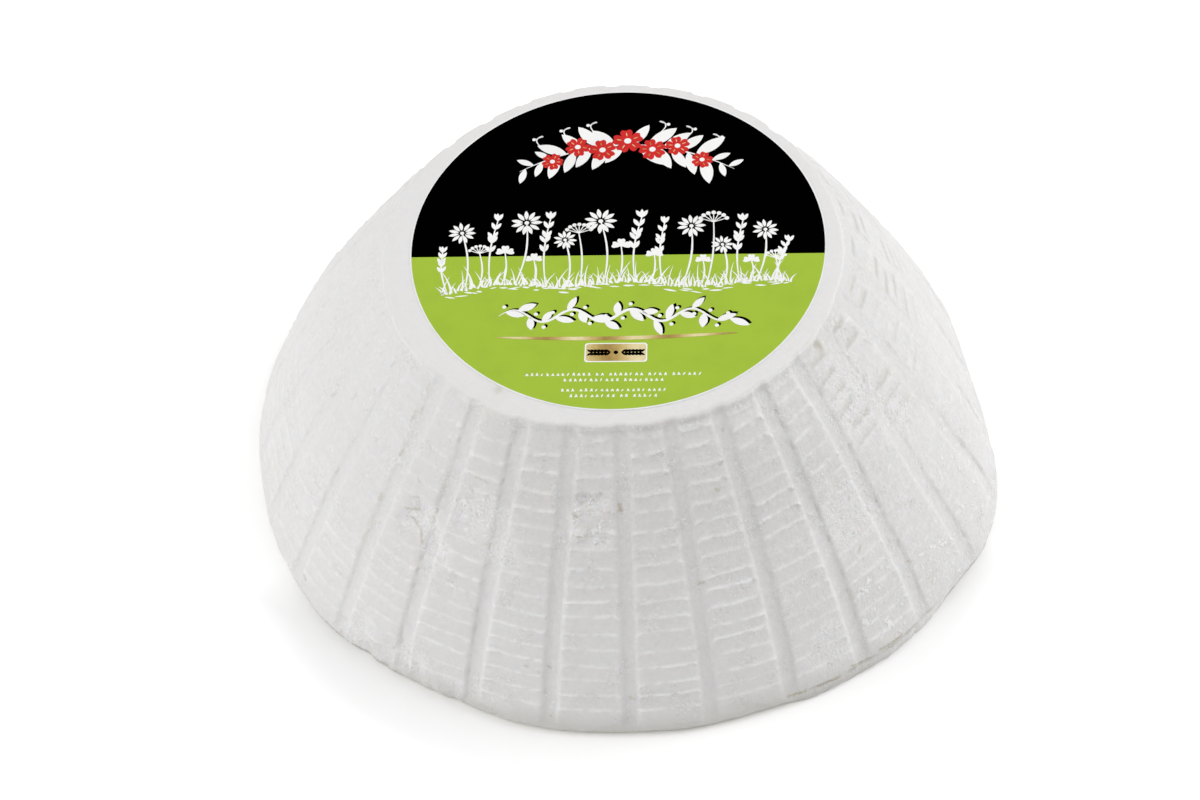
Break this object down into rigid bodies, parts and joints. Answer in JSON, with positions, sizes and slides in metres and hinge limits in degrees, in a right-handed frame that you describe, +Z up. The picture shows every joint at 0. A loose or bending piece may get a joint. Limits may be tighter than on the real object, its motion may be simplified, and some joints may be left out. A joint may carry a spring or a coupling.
{
  "type": "moulded ricotta round",
  "caption": "Low fluted cone of fresh basket-moulded cheese with a flat top that carries a round label; rests on its wide flat base.",
  "frame": {"origin": "middle of the flat base, on the surface it stands on, on the axis of the round", "axes": "+Z up along the axis of the round; -Y to the front, which shows the lower edge of the label; +X to the right"},
  "size_m": [0.2011, 0.1984, 0.0754],
  "materials": {
    "curd": "moist fresh curd, white, softly matt with a faint sheen",
    "label": "thin coated label, printed black and lime green with a white edge, satin"
  },
  "bodies": {
    "root": {"ricotta": "curd", "label": "label"}
  },
  "joints": []
}
